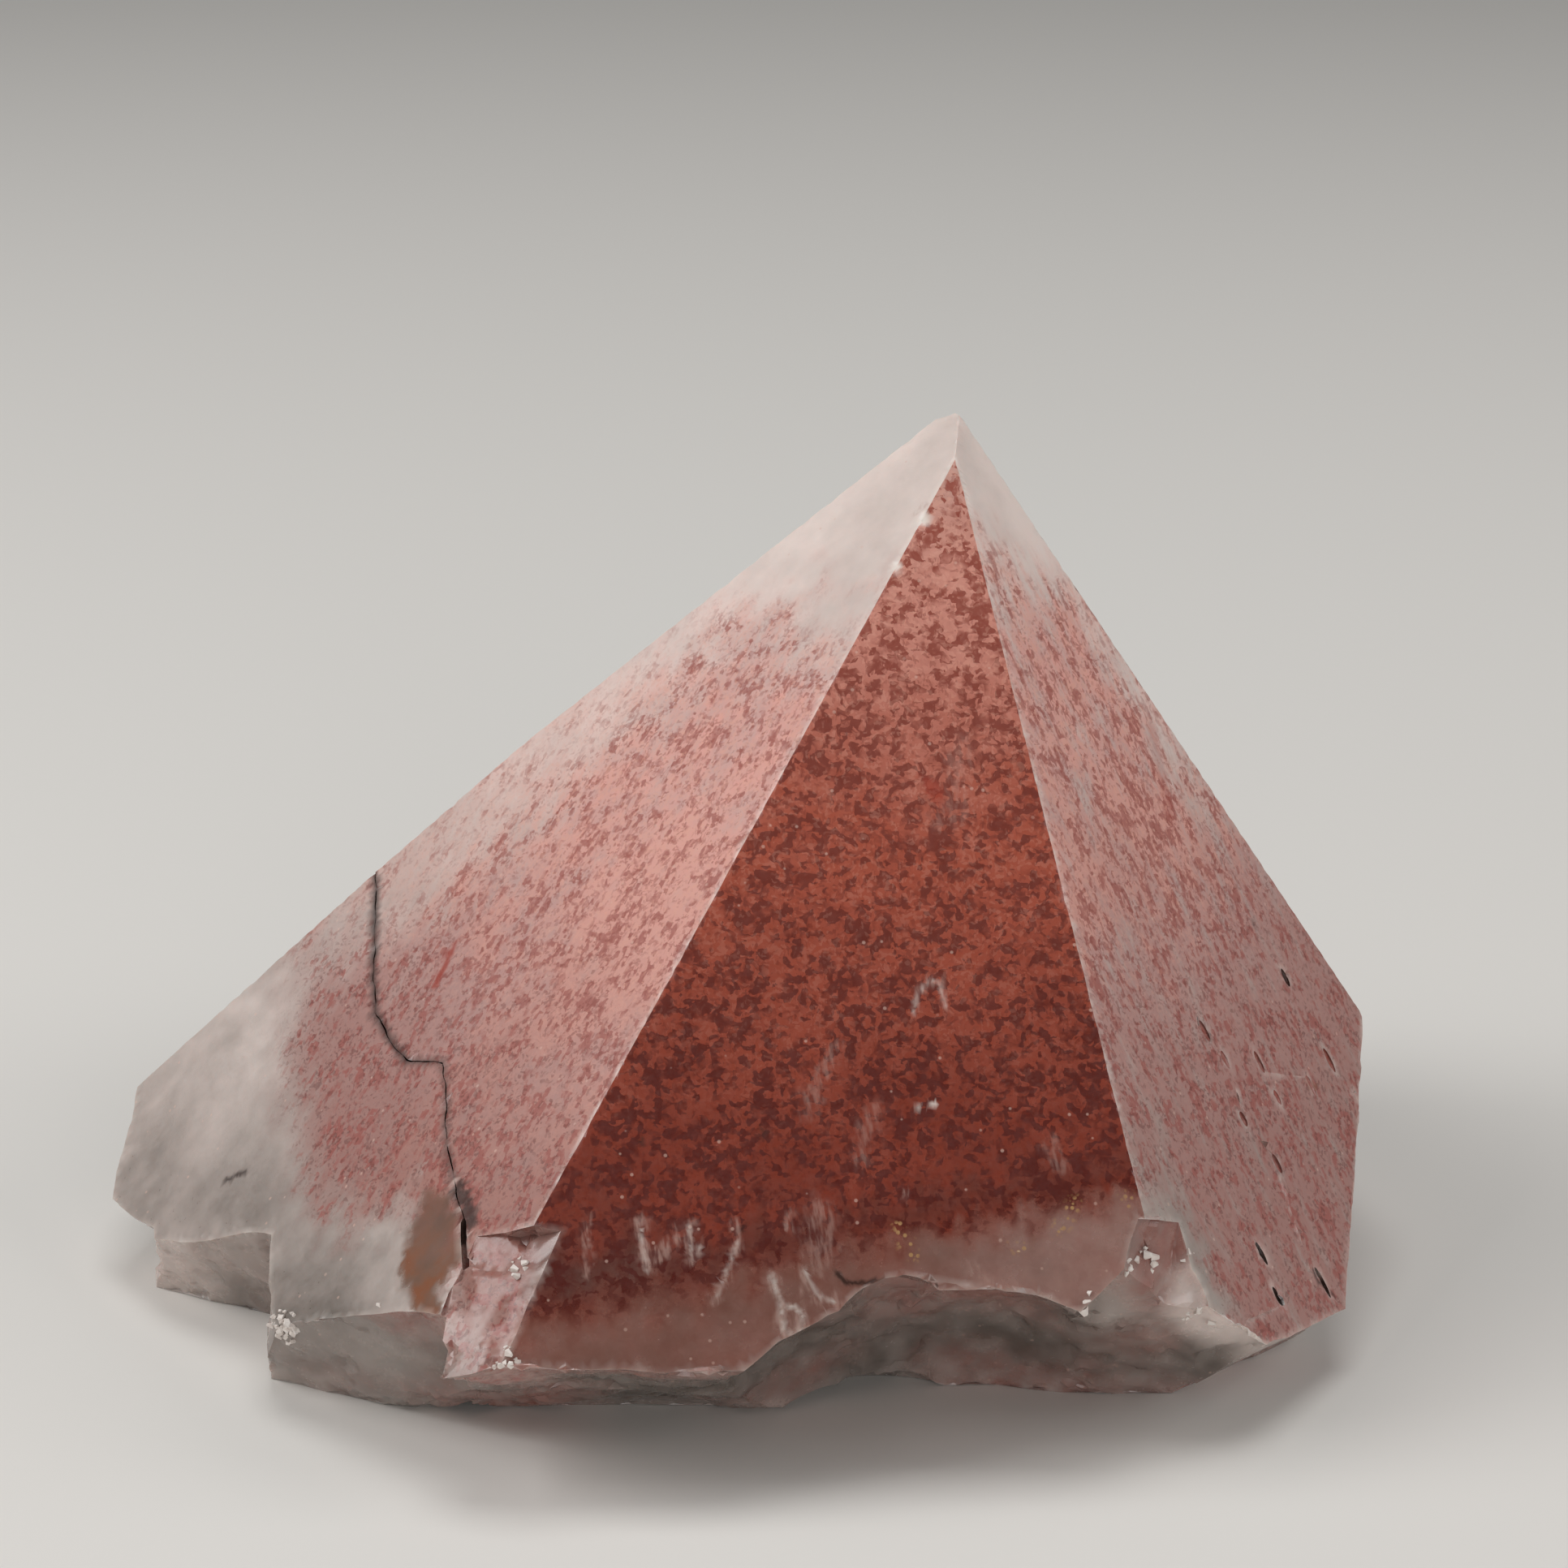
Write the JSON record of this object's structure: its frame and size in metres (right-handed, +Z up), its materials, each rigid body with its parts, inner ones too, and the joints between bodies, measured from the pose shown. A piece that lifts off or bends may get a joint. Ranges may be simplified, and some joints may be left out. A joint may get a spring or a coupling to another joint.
{
  "type": "quartz crystal",
  "caption": "Six-faced quartz crystal tip with red iron oxide inclusions, broken from its base and resting on the broken side.",
  "frame": {"origin": "middle of the bounding box at the height of the rest plane", "axes": "+Z up, +X to the right and +Y to the back as seen by someone facing the darkest red face"},
  "size_m": [0.0748, 0.0652, 0.0509],
  "materials": {
    "hematite_quartz": "satin natural crystal faces with red flecks inside, glossy milky grey broken surfaces"
  },
  "bodies": {
    "root": {"quartz_crystal": "hematite_quartz"}
  },
  "joints": []
}
